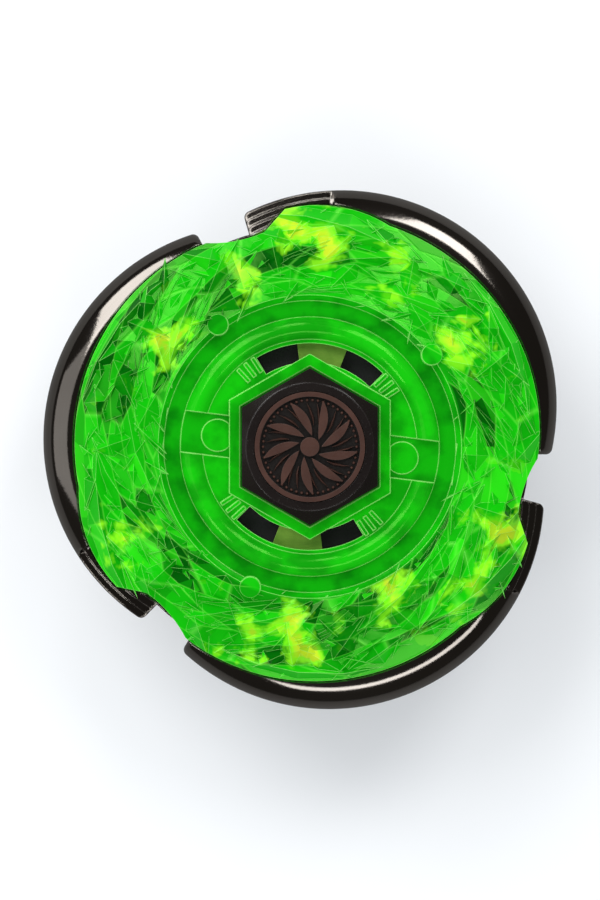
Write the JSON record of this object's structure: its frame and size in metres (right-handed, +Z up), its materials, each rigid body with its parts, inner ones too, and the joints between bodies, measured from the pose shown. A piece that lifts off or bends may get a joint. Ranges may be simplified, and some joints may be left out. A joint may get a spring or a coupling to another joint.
{
  "type": "light-up spinning top",
  "caption": "Launcher-spun toy top with a clear green crystal ring, a dark plated wheel with wings, a hex cap, a battery light unit and a ball tip.",
  "frame": {"origin": "lowest point of the ball tip, on the spin axis, where the top touches the floor when it stands upright", "axes": "+Z up the spin axis from the tip to the cap; +Y through two opposite corners of the hexagonal cap; the launcher slots are turned 7 degrees clockwise from +Y, seen from above"},
  "size_m": [0.0496, 0.0501, 0.0274],
  "materials": {
    "polished_steel": "polished hardened steel",
    "black_acetal": "moulded, slightly worn",
    "smoke_plastic": "glossy smoke-black moulding",
    "dark_plating": "vacuum-plated dark chrome on plastic",
    "plain_steel": "bright zinc plate",
    "nickel_strip": "bright nickel plate",
    "metal_film": "metallised film",
    "clear_green": "clear fluorescent green moulding",
    "black_plastic": "glossy black moulding",
    "brown_plastic": "satin brown moulding",
    "board_laminate": "green solder mask on laminate",
    "black_resin": "cured resin",
    "ceramic_chip": "glazed chip with tinned ends",
    "can_metal": "drawn can",
    "lamp_resin": "clear epoxy",
    "switch_plastic": "cream moulding",
    "plain_brass": "turned brass"
  },
  "bodies": {
    "top": {"tip_cup": "black_acetal", "base_cover": "smoke_plastic", "cover_screws": "plain_steel", "core_housing": "smoke_plastic", "plus_contact": "nickel_strip", "minus_contact": "nickel_strip", "minus_spring": "nickel_strip", "circuit_board": "board_laminate", "controller_chip": "black_resin", "timing_can": "can_metal", "switch_barrel": "switch_plastic", "switch_pin": "plain_brass", "switch_spring": "plain_steel", "attack_wheel": "dark_plating", "weight_ring": "plain_steel", "reflector_foil": "metal_film", "catch_plate": "plain_steel", "light_ring": "clear_green", "ring_screws": "plain_steel", "hex_cap": "black_plastic", "cap_badge": "brown_plastic", "lamp_1": "lamp_resin", "lamp_2": "lamp_resin", "lamp_3": "lamp_resin", "lamp_4": "lamp_resin", "button_cell_1": "nickel_strip", "resistor_1": "ceramic_chip", "button_cell_2": "nickel_strip", "resistor_2": "ceramic_chip", "button_cell_3": "nickel_strip", "resistor_3": "ceramic_chip"},
    "ball": {"tip_ball": "polished_steel"},
    "slug": {"switch_slug": "plain_brass"}
  },
  "joints": [
    {"name": "tip_spin", "type": "hinge", "parent": "top", "child": "ball", "pos_m": [0, 0, 0.002], "axis": [0, 0, 1], "continuous": true},
    {"name": "switch_slide", "type": "slide", "parent": "top", "child": "slug", "axis": [1, 0, 0], "range_m": [0, 0.001], "stiffness_N_per_m": 1.5, "springref_m": -0.0003, "deforming": ["switch_spring"]}
  ]
}
